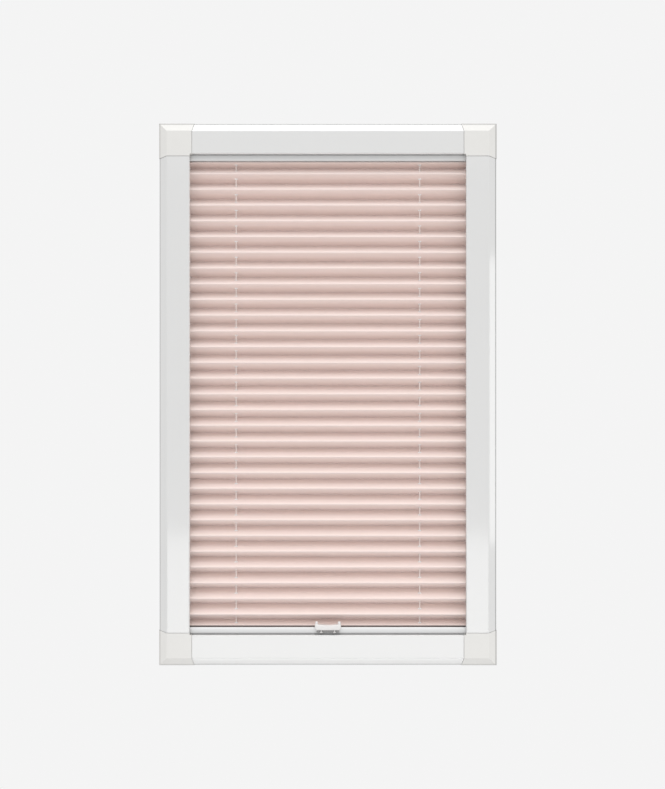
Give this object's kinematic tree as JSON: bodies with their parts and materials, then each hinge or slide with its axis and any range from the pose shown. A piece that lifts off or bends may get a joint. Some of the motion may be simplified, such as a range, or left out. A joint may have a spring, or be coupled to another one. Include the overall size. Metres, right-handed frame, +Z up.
{
  "type": "pleated window blind",
  "caption": "White clip-on window frame with mitred corners that holds a pink pleated fabric blind; a bottom rail with a finger handle slides up on taut cords.",
  "frame": {"origin": "middle of the frame's back plane, which lies against the window sash", "axes": "+Z up, along the blind's travel; +Y out through the window; -Y faces the room; +X to the right seen from the room"},
  "size_m": [0.3606, 0.0483, 0.5786],
  "materials": {
    "coated_bar": "smooth white coating on an aluminium channel",
    "moulded_corner": "satin cream-white moulding",
    "rail_paint": "pale grey-white coating",
    "pleated_cloth": "pleated polyester with a soft dusty pink shimmer",
    "white_moulding": "glossy white moulding",
    "cord_fibre": "fine braided cord",
    "steel": "bright drawn steel",
    "clear_nylon": "milky moulded nylon"
  },
  "bodies": {
    "frame": {"top_bar": "coated_bar", "bottom_bar": "coated_bar", "left_bar": "coated_bar", "right_bar": "coated_bar", "corner_top_left": "moulded_corner", "corner_top_right": "moulded_corner", "corner_bottom_left": "moulded_corner", "corner_bottom_right": "moulded_corner", "top_rail": "rail_paint", "top_rail_cap_left": "rail_paint", "top_rail_cap_right": "rail_paint", "pleated_fabric": "pleated_cloth", "cord_exit_left": "white_moulding", "cord_exit_right": "white_moulding", "cord_anchor_left": "white_moulding", "cord_anchor_right": "white_moulding", "cord_stop_left": "white_moulding", "cord_stop_right": "white_moulding", "guide_cord_left": "cord_fibre", "guide_cord_right": "cord_fibre", "tension_spring_left": "steel", "tension_spring_right": "steel", "spring_peg_left": "steel", "spring_peg_right": "steel", "cord_crimp_left": "steel", "cord_crimp_right": "steel", "rail_screw_left": "steel", "rail_screw_right": "steel", "bracket_left_lower": "clear_nylon", "bracket_left_upper": "clear_nylon", "bracket_right_lower": "clear_nylon", "bracket_right_upper": "clear_nylon", "fabric_strip_top": "clear_nylon"},
    "sliding_rail": {"bottom_rail": "rail_paint", "bottom_rail_cap_left": "rail_paint", "bottom_rail_cap_right": "rail_paint", "cord_guide_left": "white_moulding", "cord_guide_right": "white_moulding", "crossing_cord_front": "cord_fibre", "crossing_cord_back": "cord_fibre", "fabric_strip_bottom": "clear_nylon"},
    "handle": {"handle": "white_moulding"}
  },
  "joints": [
    {"name": "rail_slide", "type": "slide", "parent": "frame", "child": "sliding_rail", "axis": [0, 0, 1], "range_m": [0, 0.456], "deforming": ["pleated_fabric"]},
    {"name": "handle_slide", "type": "slide", "parent": "sliding_rail", "child": "handle", "axis": [1, 0, 0], "range_m": [-0.06, 0.06]}
  ]
}
